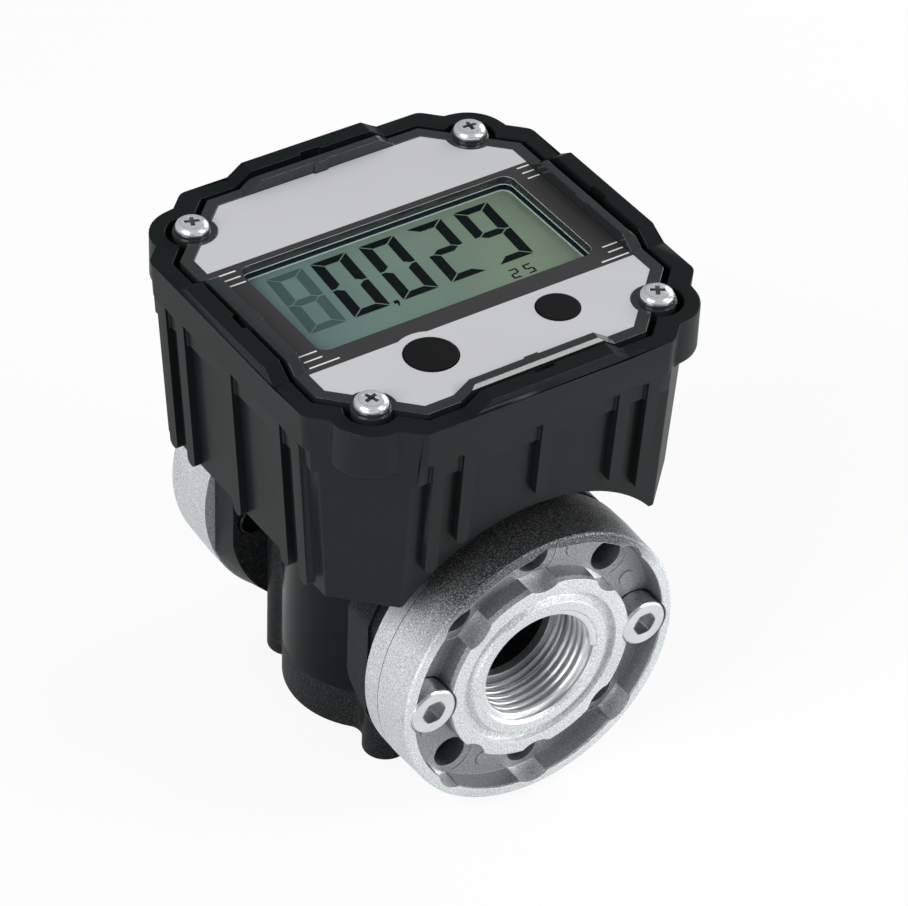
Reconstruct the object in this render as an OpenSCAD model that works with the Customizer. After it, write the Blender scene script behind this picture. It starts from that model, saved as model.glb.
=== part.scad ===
// Oval gear flow meter: a cast body with two flanges and a square register on top.
// The liquid flows along Y, the gears turn about Z, and the feet stand on z = 0.

/* [Flow body] */
// Height of the flow axis above the feet
axis_height = 43.1; // [42.6:0.1:46]
// Thickness of the metal between the gear chamber and the body's top
cap_thickness = 23; // [22:0.1:24]
// Distance from the register's middle to the outer face of each end block
block_front = 37.1; // [36:0.1:39]
// Wall between the gear chamber and the outside of a lobe
lobe_wall = 7.3; // [6:0.1:8]
// Distance from the middle to the centre of each lobe
lobe_offset = 11; // [10:0.1:12]
// Height of the joint between the body and the bottom cover
seam_height = 9.2; // [8.4:0.1:10]
// Height of the bottom cover's underside above the feet
foot_drop = 3.6; // [2.6:0.1:4]
// Distance of a screw column from the middle, across the flow
column_x = 22.7; // [22:0.1:23.2]
// Distance of a screw column from the middle, along the flow
column_y = 23.7; // [23.2:0.1:24.4]
// Radius of a screw column and of its foot
column_radius = 6.1; // [5.8:0.1:6.6]
// How far the round side of an end block lies inside the edge of its flange
block_step = 0.6; // [0.2:0.1:1.6]
// How far each flat side is cut into an end block
flat_cut = 2.6; // [2.5:0.1:3]
// Thickness of an end block along the flow
block_depth = 9.2; // [8:0.1:10]
// How far an end block's lower half draws in towards the middle
block_draft = 2.1; // [1.6:0.1:2.4]
// Width of the dark groove between the inlet's end block and its flange
neck_depth = 3.9; // [3:0.1:5]
// Step from the end block down into that groove
neck_step = 0.9; // [0.5:0.1:1.1]
// Radius of the flow passage through the body
passage_radius = 13.4; // [12:0.1:13.8]

/* [Gears] */
// Half the length of an oval gear, out to the tooth tips
gear_long = 17; // [16.4:0.1:17.2]
// Half the width of an oval gear, out to the tooth tips
gear_short = 9.8; // [9.4:0.1:10.2]
// Teeth on each oval gear, in steps that let two alike gears mesh
gear_teeth = 30; // [26:4:34]
// Height of a tooth
tooth_height = 2; // [1.4:0.1:2.2]
// Height of the gear chamber
chamber_height = 51.8; // [48:0.1:53]
// Radius of the fixed shaft in each gear
pin_radius = 3; // [2.6:0.1:3.4]
// Radius of a magnet
magnet_radius = 2; // [1.6:0.1:2.2]
// Distance of a magnet from its gear's axis
magnet_reach = 10.6; // [9:0.1:11]
// Thickness of a magnet
magnet_height = 3; // [2:0.1:4]

/* [Flanges] */
// Width of a flange outside the circle through its holes
flange_margin = 9; // [9:0.1:9.5]
// Thickness of a flange
flange_depth = 18; // [17:0.1:18.5]
// Distance of the parting line from the flange's back face
parting_depth = 6; // [5:0.1:7]
// Inside radius of the flange rim
rim_inner = 37.6; // [37:0.1:38.4]
// Outer radius of the central boss
boss_radius = 26.8; // [26.4:0.1:27.2]
// Depth of the ring recess between boss and rim
recess_depth = 6; // [5:0.1:6.6]
// Radius of the circle through the eight flange holes
bolt_circle = 32; // [31.8:0.1:32.2]
// Radius of a flange hole
bolt_hole_radius = 4.5; // [4.3:0.1:4.8]
// Radius of the pocket round a flange hole
bolt_pocket_radius = 6.8; // [6.7:0.1:7]
// Extra depth of the two pockets that hold screws
screw_seat_drop = 2; // [1.5:0.1:2.4]
// Outer radius of the face groove round the port
groove_outer = 23; // [22.6:0.1:23.6]
// Inner radius of the face groove round the port
groove_inner = 20; // [19.4:0.1:20.2]
// Width of the groove's sloped inner wall
groove_slope = 1.2; // [0.8:0.1:1.6]
// Depth of the face groove
groove_depth = 1.6; // [1:0.1:2]
// Radius at the roots of the port thread
thread_radius = 16.65; // [16:0.05:17]
// Depth of the port thread
thread_depth = 15.5; // [14:0.1:16]
// Radius of the countersunk port mouth
mouth_radius = 17.5; // [17.3:0.1:18]

/* [Register housing] */
// Width of the square housing at its rim
housing_width = 114; // [112:0.5:116]
// How far the walls draw in from the rim to the lower edge of the skirt
skirt_inset = 3.8; // [3:0.1:4.2]
// Height of the housing's low rim above the top of the body
register_depth = 39; // [38:0.5:41]
// Height of the housing from its lower edge to the low rim
skirt_depth = 57; // [54:0.5:58]
// Length cut off each corner of the walls, along a side of the rim
wall_cut = 21.3; // [20.8:0.1:21.8]
// Length cut off each corner inside the rim, along a side
corner_cut = 22.8; // [22:0.1:23.4]
// Rise of the rim along the middle of each side
rim_rise = 3.2; // [2.4:0.1:4]
// Half the length of the raised rim
rise_half = 17.9; // [16:0.1:19]
// Length of the slope at each end of the raised rim
rise_slope = 4.6; // [3:0.1:5]
// Width of the rim
rim_width = 4.7; // [4.4:0.1:4.9]
// Radius of the rounded ear at each corner
ear_radius = 10.8; // [10.4:0.1:11.2]
// Height of the straight part of an ear
ear_height = 12.6; // [11:0.1:14]
// Height of the tapered part below it
ear_taper = 5.6; // [4:0.1:7]
// Distance of each cover screw from the two sides of its corner
screw_setback = 15.6; // [15.4:0.1:15.8]
// Radius of the arch over each flange
arch_radius = 48; // [47:0.1:48.5]
// Distances of the ribs from the middle of a side
rib_places = [0, 22.5, 31.2];
// Width of a rib
rib_width = 3.6; // [3.2:0.1:4]
// Depth of the first step of the side panels
first_step = 1; // [0.6:0.1:1.2]
// Depth of the second step of the side panels
second_step = 2.2; // [1.6:0.1:2.4]
// Height of the first step below the low rim
first_drop = 10.7; // [9:0.1:12]
// Height of the second step below the low rim
second_drop = 16.8; // [15:0.1:18]
// How far the panels run on past the straight part of a side
panel_reach = 2.5; // [2.4:0.1:3]
// Distance from a rib's end to the arch below it
rib_end_gap = 5; // [4:0.1:8]

/* [Cover and display] */
// Gap between the rim and the register cover
cover_gap = 1.65; // [1.2:0.05:1.8]
// Radius of the cover's rounded ear at each screw
cover_ear = 5; // [4.7:0.1:5.2]
// Width of the raised bars on the cover
bar_width = 3.2; // [2.6:0.1:3.3]
// Width of the cover's border beside the label
border_width = 3.3; // [3.2:0.1:3.6]
// Height of the border above the label
border_rise = 0.2; // [0.1:0.05:0.3]
// Radius of the low boss under each cover screw's head
boss_pad_radius = 4.6; // [4.5:0.05:4.7]
// Height of that boss above the border
boss_pad_rise = 1; // [0.6:0.1:1.2]
// Radius of the label's cut-out round each cover screw
label_cutout = 6.55; // [6:0.05:6.8]
// Thickness of the face label
label_sheet = 0.2; // [0.15:0.05:0.3]
// Thickness of the cover's plate
plate_thickness = 2.2; // [1.8:0.1:2.6]
// Distance from the housing's side to the display window
window_side = 16.8; // [16.5:0.1:19]
// Distance from the housing's front to the display window
window_front = 39.65; // [39.55:0.05:41]
// Distance from the housing's back to the display window
window_back = 35.05; // [34:0.05:36]
// Corner radius of the window
window_corner = 3; // [2:0.1:4]
// Thickness of the window lens
lens_thickness = 1; // [0.8:0.1:1.2]
// Thickness of the display glass
glass_thickness = 2.6; // [2:0.1:2.8]
// Radius of the large button
reset_radius = 6.7; // [6:0.1:7]
// Distance of the large button left of the middle
reset_x = 18; // [17:0.1:20]
// Radius of the small button
rate_radius = 5.45; // [5:0.05:6]
// Distance of the small button right of the middle
rate_x = 18.9; // [17:0.1:20]
// Distance from the housing's front to the middle of each button
button_setback = 25.6; // [25:0.1:26]
// Travel of a button
button_travel = 0.8; // [0.5:0.1:0.8]

/* [Fasteners] */
// Radius of a flange screw
m8_radius = 4; // [3.6:0.1:4]
// Length of a flange screw below its head
m8_length = 20; // [18:0.5:22]
// Radius of a flange screw's head
m8_head_radius = 6.5; // [6.2:0.1:6.5]
// Height of a flange screw's head
m8_head_height = 8; // [7:0.1:8]
// Radius of a bottom cover screw
m5_radius = 2.5; // [2.2:0.1:2.5]
// Radius of a bottom cover screw's head
m5_head_radius = 4.25; // [4:0.05:4.3]
// Height of a bottom cover screw's head
m5_head_height = 4.6; // [4:0.1:5]
// Radius of a register or cover screw
m4_radius = 2; // [1.8:0.1:2.1]
// Radius of a register or cover screw's head
m4_head_radius = 4.25; // [4:0.05:4.4]
// Height of a register or cover screw's head
m4_head_height = 2; // [1.6:0.1:2]
// Length of a register or cover screw below its head
m4_length = 14; // [12:0.5:15]
// Width of the hexagon socket in a flange screw
m8_socket = 6; // [5.5:0.1:6.5]
// Width of the hexagon socket in a bottom cover screw
m5_socket = 4; // [3.5:0.1:4.2]
// Length of a bottom cover screw below its head
m5_length = 18; // [16:0.5:20]

/* [Electronics] */
// Distance from the housing's side to the circuit board
board_side = 18; // [17.5:0.1:20]
// Distance from the housing's front and back to the circuit board
board_front = 22; // [21.5:0.1:23]
// Thickness of the circuit board
board_thickness = 1.6; // [1.2:0.1:2]
// Height of the frame under the display glass
frame_height = 3.6; // [3:0.1:4]
// Radius of a battery
battery_radius = 6; // [5.5:0.1:6.4]
// Length of a battery
battery_length = 30; // [28:0.5:32]
// Radius of the sensor
sensor_radius = 5; // [4.4:0.1:5.4]
// Height of the sensor
sensor_height = 7.6; // [6:0.1:9]
// Width of the flat cable from the sensor to the board
strip_width = 6; // [5:0.1:7]

/* [Hidden] */
$fn = 64;
hull_fn = 32;
hexagon = 6;
dome_steps = 5;

// Clearances
cut = 1;
running_gap = 0.05;
press_gap = 0.05;
tip_gap = 0.2;
slide_gap = 0.3;
thread_gap = 0.3;

// Gear: the tips follow r = p / (1 - e cos 2a), and the teeth have equal steps of arc
gear_e = (gear_long - gear_short) / (gear_long + gear_short);
gear_p = 2 * gear_long * gear_short / (gear_long + gear_short);
arc_turn = 400;
// Half widths of a tooth in pitches from its middle, and how deep the outline lies there
tooth_shares = [-0.3, -0.19, -0.1, 0.1, 0.19, 0.3];
depth_shares = [1, 0.45, 0, 0, 0.45, 1];

// Chamber and shafts
gear_x = (gear_long + gear_short + tip_gap) / 2;
chamber_radius = gear_long + tip_gap;
chamber_floor = axis_height - chamber_height / 2;
chamber_roof = axis_height + chamber_height / 2;
body_top = chamber_roof + cap_thickness;
gear_base = chamber_floor + tip_gap;
gear_top = chamber_roof - tip_gap;
pin_foot = 8.6;
pin_head = 6;
seal_land = 0.9;
seal_width = 1.8;
seal_depth = 1.3;

// Body, from the middle outwards
lobe_radius = chamber_radius + lobe_wall;
blend_radius = 4;
waist_radius = 27;
flange_radius = bolt_circle + flange_margin;
block_radius = flange_radius - block_step;
block_flat = block_radius - flat_cut;
flange_back = block_front + neck_depth;
block_back = block_front - block_depth;
block_land = 1;
inlet_reach = flange_back + flange_depth;
outlet_reach = block_front + flange_depth;
port_seal_middle = 20;
port_seal_width = 2.4;
port_seal_depth = 1.5;
sensor_wall = 3.4;
sensor_base = chamber_roof + sensor_wall;
m5_head_base = 0.6;
hole_run_out = 1;

// Flange
recess_floor = flange_depth - recess_depth;
screw_seat = recess_floor - screw_seat_drop;
back_draft = 0.1;
front_draft = 0.5;
wall_draft = 0.4;
edge_bevel = 0.5;
flange_holes = 8;
mark_radius = 2.2;
mark_height = 0.3;
pocket_step = 0.2;

// Register housing, all of it an octagon whose sides move in from the rim
rim_height = body_top + register_depth;
skirt_bottom = rim_height - skirt_depth;
wall_side = housing_width / 2 - wall_cut;
panel_half = wall_side + panel_reach;
screw_offset = housing_width / 2 - screw_setback;
corner_share = 2 - sqrt(2);
corner_round = 3.5;
disc_height = 0.01;
cover_inset = rim_width + cover_gap;
land_width = 2.25;
cavity_inset = cover_inset + land_width;
ledge_drop = 6;
ledge_height = rim_height - ledge_drop;
floor_thickness = 3;
floor_top = body_top + floor_thickness;
ear_foot_radius = 4.8;
screw_column = 6;
notch_width = 5.6;
notch_depth = 1;
pad_radius = 8.5;
pad_height = 4;
post_radius = 2.5;
post_inset = 3;
post_y = 12;

// The origin is below the middle of the whole meter, and the register's middle is this far from it
middle_y = (inlet_reach - max(outlet_reach, housing_width / 2)) / 2;

// Register cover and what hangs from it
gasket_thickness = 0.6;
label_top = rim_height;
plate_top = label_top - label_sheet;
plate_bottom = plate_top - plate_thickness;
bar_chamfer = 1;
tab_width = 4;
tab_depth = 0.5;
label_gap = 0.1;
lens_margin = 2.8;
button_rise = 0.3;
button_lip = 1.2;
button_flange = 1.2;
stem_radius = 1.6;
stem_length = 1.5;

// Window, board, display and switches
window_width = housing_width - 2 * window_side;
window_height = housing_width - window_front - window_back;
window_shift = (window_front - window_back) / 2;
button_y = housing_width / 2 - button_setback;
board_width = housing_width - 2 * board_side;
board_depth = housing_width - 2 * board_front;
glass_gap = 0.4;
glass_margin = 2;
frame_width = 2.4;
glass_bottom = plate_bottom - lens_thickness - glass_gap - glass_thickness;
board_top = glass_bottom - frame_height;
board_bottom = board_top - board_thickness;
chip_width = 12;
chip_height = 1.4;
switch_width = 6;
switch_height = 2.6;
plunger_radius = 1.7;
plunger_gap = 0.1;

// Batteries
battery_spacing = 13.4;
battery_y = 16;
battery_nub_radius = 2;
battery_nub = 1;
tray_base = 2;
tray_wall = 1.6;
tray_depth = 9;
contact_sheet = 0.5;
strip_thickness = 1.2;

column_places = [for (x = [-column_x, column_x]) for (y = [-column_y, column_y]) [x, y]];
screw_places = [for (x = [-screw_offset, screw_offset]) for (y = [-screw_offset, screw_offset]) [x, y]];
post_x = board_width / 2 - post_inset;
post_places = [for (x = [-post_x, post_x]) for (y = [-post_y, post_y]) [x, y]];
pin_places = [[-gear_x, 0], [gear_x, 0]];
sensor_place = [-gear_x, -magnet_reach];
reset_place = [-reset_x, -button_y];
rate_place = [rate_x, -button_y];
window_place = [0, window_shift];

// Basic forms

module rod(place, low, high, radius) {
    translate([place[0], place[1], low]) cylinder(h = high - low, r = radius);
}

module flow_rod(start, stop, radius) {
    translate([0, start, axis_height]) rotate([-90, 0, 0]) cylinder(h = stop - start, r = radius);
}

module slab(low, high) {
    translate([0, 0, low]) linear_extrude(high - low) children();
}

module block(place, low, high, width, depth) {
    slab(low, high) translate(place) square([width, depth], center = true);
}

module both_ends() {
    children();
    mirror([0, 1, 0]) children();
}

module centred() {
    translate([0, middle_y, 0]) children();
}

// A machine screw with its head above z = 0 and its shank below
module socket_screw(radius, length, head_radius, head_height, socket) {
    difference() {
        rotate_extrude() polygon([
            [0, -length],
            [radius - edge_bevel, -length],
            [radius, -length + edge_bevel],
            [radius, 0],
            [head_radius, 0],
            [head_radius, head_height - edge_bevel],
            [head_radius - edge_bevel, head_height],
            [0, head_height]]);
        translate([0, 0, head_height / 2])
            cylinder(h = head_height, r = socket / 2 / cos(180 / hexagon), $fn = hexagon);
    }
}

module pan_screw() {
    rotate_extrude() polygon(concat(
        [[0, -m4_length], [m4_radius, -m4_length], [m4_radius, 0]],
        [for (step = [0:dome_steps]) let (a = step * 90 / dome_steps)
            [m4_head_radius * cos(a), m4_head_height * sin(a)]]));
}

// Gears

function tip_radius(a) = gear_p / (1 - gear_e * cos(2 * a));
function tip_point(a, depth) = (tip_radius(a) - depth) * [cos(a), sin(a)];

// Length of arc along the tips, against the angle
arc_table = [for (a = 0, arc = 0; a <= arc_turn;
    arc = arc + norm(tip_point(a + 1, 0) - tip_point(a, 0)), a = a + 1) [arc, a]];
pitch = arc_table[360][0] / gear_teeth;

module gear_outline() {
    polygon([for (tooth = [1:gear_teeth]) for (k = [0:len(tooth_shares) - 1])
        let (a = lookup((tooth + tooth_shares[k]) * pitch, arc_table))
        tip_point(a, depth_shares[k] * tooth_height)]);
}

module oval_gear(place, turn) {
    difference() {
        slab(gear_base, gear_top) translate(place) rotate(turn) gear_outline();
        rod(place, gear_base - cut, gear_top + cut, pin_radius + running_gap);
    }
}

module magnet_rods(grow) {
    for (side = [-1, 1])
        rod([side * magnet_reach - gear_x, 0], gear_top - magnet_height, gear_top, magnet_radius + grow);
}

module oval_gear_a() {
    color("#20242a") centred() difference() {
        oval_gear(pin_places[0], 0);
        magnet_rods(press_gap);
        slab(gear_top, gear_top + cut) translate(pin_places[0]) square(2 * magnet_reach, center = true);
    }
}

module oval_gear_b() {
    color("#20242a") centred() oval_gear(pin_places[1], 90);
}

module gear_magnets() {
    color("silver") centred() magnet_rods(0);
}

module gear_pins() {
    color("lightgray") centred() for (place = pin_places)
        rod(place, chamber_floor - pin_foot, chamber_roof + pin_head, pin_radius);
}

// Flow body

module chamber_plan(radius) {
    for (place = pin_places) translate(place) circle(radius);
}

// The hollow corner between a lobe and a screw column
module column_blend() {
    middle = [lobe_offset, 0];
    column = [column_x, column_y];
    reach = norm(column - middle);
    to_lobe = lobe_radius + blend_radius;
    to_column = column_radius + blend_radius;
    turn = atan2(column_y, column_x - lobe_offset);
    spread = acos((reach * reach + to_lobe * to_lobe - to_column * to_column) / (2 * reach * to_lobe));
    centre = middle + to_lobe * [cos(turn - spread), sin(turn - spread)];
    difference() {
        polygon([middle, centre, column]);
        translate(centre) circle(blend_radius);
    }
}

module lobe_plan() {
    for (side = [-1, 1]) translate([side * lobe_offset, 0]) circle(lobe_radius);
    square([2 * column_x, 2 * column_y], center = true);
    for (x = [0, 1]) for (y = [0, 1]) mirror([x, 0, 0]) mirror([0, y, 0]) column_blend();
}

module flat_disc(start, stop, radius, flat) {
    intersection() {
        flow_rod(start, stop, radius);
        block([0, (start + stop) / 2], axis_height - radius, axis_height + radius, 2 * flat, stop - start);
    }
}

// Round above the axis, and drawn in towards the middle below it
module end_block() {
    intersection() {
        flat_disc(block_back, block_front, block_radius, block_flat);
        union() {
            block([0, (block_back + block_front) / 2], axis_height, axis_height + block_radius,
                2 * block_radius, block_depth);
            translate([0, block_back, axis_height]) rotate([-90, 0, 0]) cylinder(h = block_depth,
                r1 = block_radius - block_draft,
                r2 = block_radius + block_draft * block_land / (block_depth - block_land));
        }
    }
}

// The face groove under a flange, and the ring in it
module port_ring(width) {
    difference() {
        rod([0, 0], -port_seal_depth, 0, port_seal_middle + width / 2);
        rod([0, 0], -port_seal_depth - cut, cut, port_seal_middle - width / 2);
    }
}

module meter_body() {
    color("#1d1f21") centred() difference() {
        union() {
            slab(seam_height, body_top) lobe_plan();
            for (place = column_places) rod(place, seam_height, body_top, column_radius);
            flow_rod(-block_back, block_back, waist_radius);
            both_ends() end_block();
            flat_disc(-flange_back, -block_front, block_radius - neck_step, block_flat - neck_step);
        }
        slab(seam_height - cut, chamber_roof) chamber_plan(chamber_radius);
        flow_rod(-flange_back - cut, block_front + cut, passage_radius);
        at_inlet() port_ring(port_seal_width + 2 * press_gap);
        at_outlet() port_ring(port_seal_width + 2 * press_gap);
        both_ends() for (x = [-bolt_circle, bolt_circle]) translate([x, 0, 0])
            flow_rod(block_back - cut, flange_back + cut, m8_radius + thread_gap);
        slab(-cut, seam_height) square([2 * column_x, 2 * column_y], center = true);
        for (place = column_places) {
            rod(place, -cut, seam_height, column_radius + slide_gap);
            rod(place, 0, m5_head_base + m5_head_height + m5_length + hole_run_out, m5_radius + thread_gap);
            rod(place, floor_top - m4_length - hole_run_out, body_top + cut, m4_radius + thread_gap);
        }
        for (place = pin_places)
            rod(place, chamber_roof - cut, chamber_roof + pin_head, pin_radius + press_gap);
        rod(sensor_place, sensor_base, body_top + cut, sensor_radius + slide_gap);
    }
}

module chamber_cover() {
    color("#1d1f21") centred() difference() {
        union() {
            slab(foot_drop, seam_height) lobe_plan();
            for (place = column_places) rod(place, 0, seam_height, column_radius);
            slab(foot_drop, chamber_floor) chamber_plan(chamber_radius - slide_gap);
        }
        for (place = column_places) {
            rod(place, -cut, m5_head_base + m5_head_height, m5_head_radius + slide_gap);
            rod(place, 0, seam_height + cut, m5_radius + thread_gap);
        }
        for (place = pin_places)
            rod(place, chamber_floor - pin_foot, chamber_floor + cut, pin_radius + press_gap);
        slab(seam_height - seal_depth, seam_height) seal_plan(press_gap);
    }
}

module seal_plan(grow) {
    difference() {
        chamber_plan(chamber_radius + seal_land + seal_width + grow);
        chamber_plan(chamber_radius + seal_land - grow);
    }
}

module chamber_seal() {
    color("#141414") centred() slab(seam_height - seal_depth, seam_height) seal_plan(0);
}

module chamber_screws() {
    color("silver") centred() for (place = column_places)
        translate([place[0], place[1], m5_head_base + m5_head_height]) mirror([0, 0, 1])
            socket_screw(m5_radius, m5_length, m5_head_radius, m5_head_height, m5_socket);
}

// Flanges

module flange() {
    difference() {
        union() {
            rotate_extrude() polygon([
                [passage_radius, 0],
                [flange_radius - back_draft, 0],
                [flange_radius, parting_depth],
                [flange_radius - front_draft, flange_depth - edge_bevel],
                [flange_radius - front_draft - edge_bevel, flange_depth],
                [rim_inner, flange_depth],
                [rim_inner - wall_draft, recess_floor],
                [boss_radius + wall_draft, recess_floor],
                [boss_radius, flange_depth],
                [groove_outer, flange_depth],
                [groove_outer, flange_depth - groove_depth],
                [groove_inner + groove_slope, flange_depth - groove_depth],
                [groove_inner, flange_depth],
                [mouth_radius, flange_depth],
                [thread_radius, flange_depth - mouth_radius + thread_radius],
                [thread_radius, flange_depth - thread_depth],
                [passage_radius, flange_depth - thread_depth]]);
            for (k = [1:flange_holes]) rotate((k + 1 / 2) * 360 / flange_holes)
                rod([bolt_circle, 0], screw_seat, recess_floor + mark_height, mark_radius);
        }
        for (k = [1:flange_holes]) rotate(k * 360 / flange_holes) {
            seat = k * 2 % flange_holes == 0 ? screw_seat : recess_floor - pocket_step;
            rod([bolt_circle, 0], -cut, flange_depth, bolt_hole_radius);
            rod([bolt_circle, 0], seat, flange_depth + cut, bolt_pocket_radius);
        }
    }
}

module at_inlet() {
    translate([0, -flange_back, axis_height]) rotate([90, 0, 0]) children();
}

module at_outlet() {
    translate([0, block_front, axis_height]) rotate([-90, 0, 0]) children();
}

module outlet_flange() {
    color("#c9cbcd") centred() at_outlet() flange();
}

module inlet_flange() {
    color("#c9cbcd") centred() at_inlet() flange();
}

module outlet_seal() {
    color("#141414") centred() at_outlet() port_ring(port_seal_width);
}

module inlet_seal() {
    color("#141414") centred() at_inlet() port_ring(port_seal_width);
}

module screw_pair() {
    for (side = [-1, 1]) translate([side * bolt_circle, 0, screw_seat])
        socket_screw(m8_radius, m8_length, m8_head_radius, m8_head_height, m8_socket);
}

module flange_screws() {
    color("silver") centred() {
        at_inlet() screw_pair();
        at_outlet() screw_pair();
    }
}

// Register housing

function spin(point, a) = [point[0] * cos(a) - point[1] * sin(a), point[0] * sin(a) + point[1] * cos(a)];

// The eight corners of a square with its corners cut off, from its half width and half a side's length
function cut_square(half, side) =
    [for (a = [0:90:270]) each [spin([half, side], a), spin([side, half], a)]];

function octagon(inset) = cut_square(housing_width / 2 - inset,
    housing_width / 2 - inset - corner_cut + corner_share * inset);

// The octagon moved in by an inset, with a round ear at each cover screw
module eared_plan(inset, ear) {
    polygon(octagon(inset));
    for (place = screw_places) translate(place) circle(ear);
}

// The space inside the walls, round a column of the given radius at each cover screw
module cavity_plan(gap, column) {
    difference() {
        polygon(octagon(cavity_inset + gap));
        for (place = screw_places) translate(place) circle(column + gap);
    }
}

module corner_discs(inset, height) {
    for (point = cut_square(housing_width / 2 - inset - corner_round,
        wall_side - (1 - corner_share) * corner_round))
        translate([point[0], point[1], height]) cylinder(h = disc_height, r = corner_round, $fn = hull_fn);
}

module envelope() {
    hull() {
        corner_discs(0, rim_height - disc_height);
        corner_discs(skirt_inset, skirt_bottom);
    }
}

module screw_ear(place) {
    ear_bottom = rim_height - ear_height;
    rod(place, ear_bottom, rim_height, ear_radius);
    translate([place[0], place[1], ear_bottom - ear_taper])
        cylinder(h = ear_taper, r1 = ear_foot_radius, r2 = ear_radius);
}

// A bar along the +X side that rises in the middle and slopes down at both ends
module raised_bar(outer, width, base) {
    long_half = rise_half + rise_slope;
    translate([outer - width, 0, base]) rotate([90, 0, 90]) linear_extrude(width)
        polygon([[-long_half, 0], [long_half, 0], [rise_half, rim_rise], [-rise_half, rim_rise]]);
}

module four_sides() {
    for (a = [0:90:270]) rotate(a) children();
}

function wall_face(height) = housing_width / 2 - (rim_height - height) * skirt_inset / skirt_depth;

// The side panel on the +X wall, with ribs left standing that end at the given heights
module panel(rib_ends) {
    first = rim_height - first_drop;
    second = rim_height - second_drop;
    low = skirt_bottom - cut;
    difference() {
        translate([0, panel_half, 0]) rotate([90, 0, 0]) linear_extrude(2 * panel_half) polygon([
            [wall_face(first) - first_step, first],
            [wall_face(second) - first_step, second],
            [wall_face(second) - second_step, second],
            [wall_face(low) - second_step, low],
            [wall_face(low) + cut, low],
            [wall_face(first) + cut, first]]);
        for (k = [0:len(rib_places) - 1]) for (side = [-1, 1]) rib(side * rib_places[k], rib_ends[k]);
    }
}

module rib(place, end) {
    inner = wall_face(skirt_bottom) - second_step - cut;
    outer = housing_width / 2 + cut;
    translate([inner, place, end + rib_width / 2]) {
        rotate([0, 90, 0]) cylinder(h = outer - inner, r = rib_width / 2);
        translate([0, -rib_width / 2, 0]) cube([outer - inner, rib_width, rim_height - end]);
    }
}

straight_ends = [for (place = rib_places) skirt_bottom];
arched_ends = [for (place = rib_places)
    axis_height + sqrt(arch_radius * arch_radius - place * place) + rib_end_gap];

module register_housing() {
    color("#222426") centred() difference() {
        union() {
            envelope();
            for (place = screw_places) screw_ear(place);
            four_sides() raised_bar(housing_width / 2, rim_width, rim_height);
        }
        slab(ledge_height, rim_height + cut) eared_plan(rim_width, cover_ear + cover_gap);
        slab(body_top, ledge_height + cut) cavity_plan(0, screw_column);
        slab(skirt_bottom - cut, body_top + cut) cavity_plan(0, pad_radius);
        slab(skirt_bottom - cut, body_top - pad_height) polygon(octagon(cavity_inset));
        flow_rod(-housing_width / 2 - cut, housing_width / 2 + cut, arch_radius);
        for (a = [0, 180]) rotate(a) panel(straight_ends);
        for (a = [90, 270]) rotate(a) panel(arched_ends);
        four_sides() block([housing_width / 2 - rim_width, 0], ledge_height, rim_height + rim_rise + cut,
            2 * notch_depth, notch_width);
        for (place = screw_places)
            rod(place, screw_end - hole_run_out, ledge_height + cut, m4_radius + thread_gap);
    }
}

// The plate that is screwed to the body, rests on the housing's corner pads and carries the board
module mounting_plate() {
    color("#2a2c2e") centred() difference() {
        slab(body_top, floor_top) cavity_plan(slide_gap, screw_column);
        for (place = column_places) rod(place, body_top - cut, floor_top + cut, m4_radius + thread_gap);
        block(sensor_place, body_top - cut, floor_top + cut, strip_width + 2 * slide_gap,
            strip_thickness + 2 * slide_gap);
    }
    color("#2a2c2e") centred() for (place = post_places) rod(place, floor_top, board_bottom, post_radius);
}

module housing_screws() {
    color("silver") centred() for (place = column_places)
        translate([place[0], place[1], floor_top]) pan_screw();
}

// Register cover

border_top = label_top + border_rise;
screw_base = border_top + boss_pad_rise;
screw_end = screw_base - m4_length;

module window(grow) {
    half = [window_width / 2 - window_corner, window_height / 2 - window_corner];
    translate(window_place) {
        for (x = [-half[0], half[0]]) for (y = [-half[1], half[1]])
            translate([x, y]) circle(window_corner + grow);
        square([2 * half[0], window_height + 2 * grow], center = true);
        square([window_width + 2 * grow, 2 * half[1]], center = true);
    }
}

module label_plan(grow) {
    difference() {
        polygon(octagon(cover_inset + border_width - grow));
        for (place = screw_places) translate(place) circle(label_cutout - grow);
    }
}

module button_holes() {
    translate(reset_place) circle(reset_radius + slide_gap);
    translate(rate_place) circle(rate_radius + slide_gap);
}

module cover_bar() {
    outer = housing_width / 2 - cover_inset;
    long_half = rise_half + rise_slope;
    difference() {
        union() {
            raised_bar(outer, bar_width, rim_height);
            block([outer - bar_width, 0], label_top, rim_height + rim_rise, 2 * tab_depth, tab_width);
        }
        translate([outer, long_half, rim_height + rim_rise]) rotate([90, 0, 0])
            linear_extrude(2 * long_half) polygon([[-bar_chamfer, 0], [0, -bar_chamfer], [cut, 0], [0, cut]]);
    }
}

module register_cover() {
    color("#2c3032") centred() difference() {
        union() {
            slab(plate_bottom, plate_top) eared_plan(cover_inset, cover_ear);
            difference() {
                slab(ledge_height + gasket_thickness, plate_bottom) eared_plan(cover_inset, cover_ear);
                slab(ledge_height, plate_bottom) cavity_plan(0, screw_column);
            }
            slab(plate_top, border_top) difference() {
                eared_plan(cover_inset, cover_ear);
                label_plan(label_gap);
            }
            for (place = screw_places) rod(place, plate_top, screw_base, boss_pad_radius);
            four_sides() cover_bar();
        }
        slab(plate_bottom - cut, plate_top + cut) {
            window(0);
            button_holes();
        }
        for (place = screw_places) rod(place, ledge_height, screw_base + cut, m4_radius + thread_gap);
    }
}

module cover_gasket() {
    color("#141414") centred() difference() {
        slab(ledge_height, ledge_height + gasket_thickness) difference() {
            eared_plan(cover_inset, cover_ear);
            cavity_plan(0, screw_column);
        }
        for (place = screw_places) rod(place, ledge_height - cut, border_top, m4_radius + thread_gap);
    }
}

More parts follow.
